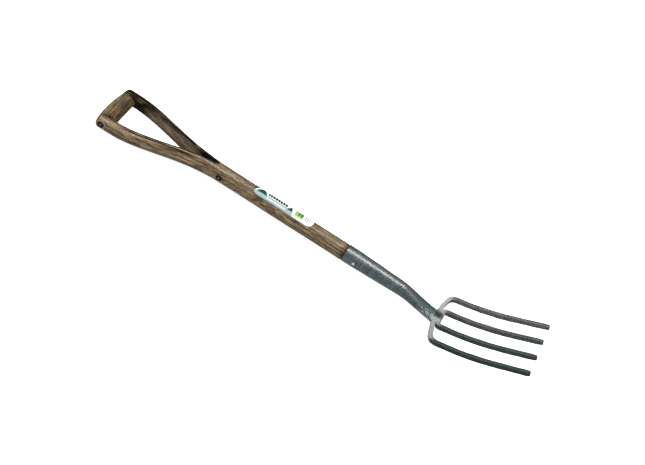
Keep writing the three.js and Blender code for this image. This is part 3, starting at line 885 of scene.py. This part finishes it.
def label_material():
    """Printed film: dark green hills and plain bars on white over a pale blue-grey band, and a light green
    panel at the right. It carries no lettering."""
    s = Shader("printed_label")
    u, v = s.node("SeparateXYZ", {0: s.grain()}).node.outputs[:2]

    def sheared(slope):
        return s.math("ADD", u, s.math("MULTIPLY", v, slope))

    def between(value, low, high):
        return s.math("COMPARE", value, (low + high) / 2, (high - low) / 2)

    def patch(along, low, high, bottom, top):
        return s.math("MULTIPLY", between(along, low, high), between(v, bottom, top))

    white = (0.86, 0.90, 0.88)
    green = (0.0, 0.046, 0.038)
    band = (0.24, 0.34, 0.36)
    lowest, horizon = -20, 5.5
    colour = s.mix(patch(sheared(-0.35), -5, 90, horizon, 20), white, band)
    colour = s.mix(patch(sheared(0.62), -14, 5.6, lowest, horizon), colour, green)
    for rising, start, falling, first, last in ((0.85, 9.5, -0.62, -50, 28), (0.72, 81.5, -0.35, -5, 90)):
        left_slope = patch(sheared(rising), start, 200, lowest, horizon)
        right_slope = patch(sheared(falling), first, last, lowest, horizon)
        colour = s.mix(s.math("MULTIPLY", left_slope, right_slope), colour, green)
    blocks = s.math("MULTIPLY", patch(u, 32, 79, -10, 1.5), between(s.math("PINGPONG", u, 3.0), 0.45, 3.1))
    colour = s.mix(blocks, colour, (0.004, 0.025, 0.024))
    dashes = s.math("MULTIPLY", patch(u, 32, 79, 2.7, 5.2), between(s.math("PINGPONG", u, 1.5), 0.4, 1.6))
    colour = s.mix(dashes, colour, (0.01, 0.07, 0.06))
    strokes = s.math("MULTIPLY", patch(sheared(0.2), 33, 78, 7.2, 10.2),
                     between(s.math("PINGPONG", u, 2.2), 0.8, 2.3))
    colour = s.mix(strokes, colour, (0.72, 0.80, 0.80))
    colour = s.mix(patch(u, 97.5, 117, -14, 7.5), colour, (0.20, 0.41, 0.10))
    colour = s.mix(patch(u, 97.5, 117, 7.5, 10), colour, (0.42, 0.56, 0.30))
    for left, right in ((104.6, 108.6), (110.4, 115)):
        colour = s.mix(patch(u, left, right, -9.5, 4.5), colour, (0.05, 0.15, 0.05))
    lines = s.math("MULTIPLY", patch(u, 119.8, 132.5, -12, 8),
                   between(s.math("PINGPONG", u, 2.4), 1.35, 2.5))
    colour = s.mix(lines, colour, (0.20, 0.22, 0.26))
    wear = s.noise(s.stretch(s.grain(), (2.2, 1.4, 1)), 3.0, 0.6)
    colour = s.mix(s.span(wear, 0.55, 0.8, 0, 0.25), colour, (0.62, 0.68, 0.66))
    return s.surface(
        Base_Color=colour, Roughness=s.span(wear, 0.3, 0.7, 0.4, 0.55), Specular_IOR_Level=0.25,
        Normal=s.bump(wear, 0.00006, 0.5),
    )


def floor_material():
    s = Shader("pale_floor")
    tone = s.noise(s.stretch(s.millimetres(), (900, 900, 900)), 2.0)
    colour = s.ramp(tone, (0.0, 0.86), (1.0, 0.9))
    return s.surface(Base_Color=colour, Roughness=0.9, Emission_Color=(1, 1, 1, 1), Emission_Strength=0.9)


# Floor, lights and camera

def make_floor():
    bm = bmesh.new()
    bmesh.ops.create_grid(bm, x_segments=1, y_segments=1, size=8.0)
    mesh = bpy.data.meshes.new("floor")
    bm.to_mesh(mesh)
    bm.free()
    floor = bpy.data.objects.new("floor", mesh)
    bpy.context.scene.collection.objects.link(floor)
    mesh.materials.append(floor_material())
    floor.visible_glossy = False


def add_light(name, position, target, size, power, tint=(1, 1, 1)):
    """A soft rectangle that faces the target; size is its length along X and its width across that."""
    light = bpy.data.lights.new(name, "AREA")
    light.shape = "RECTANGLE"
    light.size, light.size_y = size
    light.energy = power
    light.color = tint
    back = (Vector(position) - Vector(target)).normalized()
    along = (Vector((1, 0, 0)) - back * back.x).normalized()
    pose = Matrix((along, back.cross(along), back)).transposed().to_4x4()
    pose.translation = position
    lamp = bpy.data.objects.new(name, light)
    lamp.matrix_world = pose
    bpy.context.scene.collection.objects.link(lamp)


def light_scene():
    add_light("key", (-0.3, -0.16, 2.1), (0, 0, 0), (2.7, 0.40), 82, (1.0, 0.97, 0.93))
    world = bpy.data.worlds.new("studio")
    world.use_nodes = True
    background = world.node_tree.nodes["Background"]
    background.inputs["Color"].default_value = (0.94, 0.97, 1.0, 1)
    background.inputs["Strength"].default_value = 0.17
    bpy.context.scene.world = world


def make_camera():
    """Looks down on the fork at 40 degrees, rolled so that the fork runs across the picture's diagonal."""
    elevation, yaw, roll = CAMERA_ELEVATION, CAMERA_YAW, CAMERA_ROLL
    look = Vector((
        math.sin(yaw) * math.cos(elevation), math.cos(yaw) * math.cos(elevation), -math.sin(elevation),
    ))
    right = Vector((math.cos(yaw), -math.sin(yaw), 0))
    up = right.cross(look)
    x_axis = right * math.cos(roll) + up * math.sin(roll)
    y_axis = up * math.cos(roll) - right * math.sin(roll)
    turn = TOOL.to_3x3().normalized()
    pose = Matrix((turn @ x_axis, turn @ y_axis, turn @ -look)).transposed().to_4x4()
    pose.translation = TOOL @ (CAMERA_TARGET - look * CAMERA_DISTANCE)
    camera = bpy.data.cameras.new("camera")
    camera.sensor_fit = "HORIZONTAL"
    camera.sensor_width = CAMERA_SENSOR
    camera.lens = CAMERA_LENS
    camera.clip_end = 50
    eye = bpy.data.objects.new("camera", camera)
    eye.matrix_world = pose
    bpy.context.scene.collection.objects.link(eye)
    bpy.context.scene.camera = eye


make_camera()
make_floor()
light_scene()

enamel = enamel_material()
bright_steel = steel_material("bright_steel", (0.62, 0.60, 0.56), (0.30, 0.28, 0.25), 0.9, 0.36, 1.5)
black_steel = steel_material("black_steel", (0.035, 0.032, 0.030), (0.012, 0.010, 0.010), 0.7, 0.5)
copper = steel_material("copper", (0.95, 0.78, 0.56), (0.72, 0.52, 0.33), 0.5, 0.42)

make_shaft()
make_grip()
for rivet, name in ((GRIP_RIVET, "grip"), (THROAT_RIVET, "throat")):
    on_washer = rivet["floor"] + WASHER_THICKNESS + 0.35
    make_rivet(name + "_rivet", rivet, on_washer, bright_steel)
    make_washer(name + "_washer_near", rivet, -1, black_steel)
    make_washer(name + "_washer_far", rivet, 1, black_steel)
make_rivet("socket_rivet", SOCKET_RIVET, SOCKET_RIVET["floor"] + 0.3, copper)
make_socket(enamel)
make_tines("outer_tines", outer_plan(), 5.5, enamel)
make_tines("inner_tines", inner_plan(), 9.5, enamel)
make_weld(enamel)
make_label(label_material())

bpy.context.scene.view_settings.view_transform = "Standard"
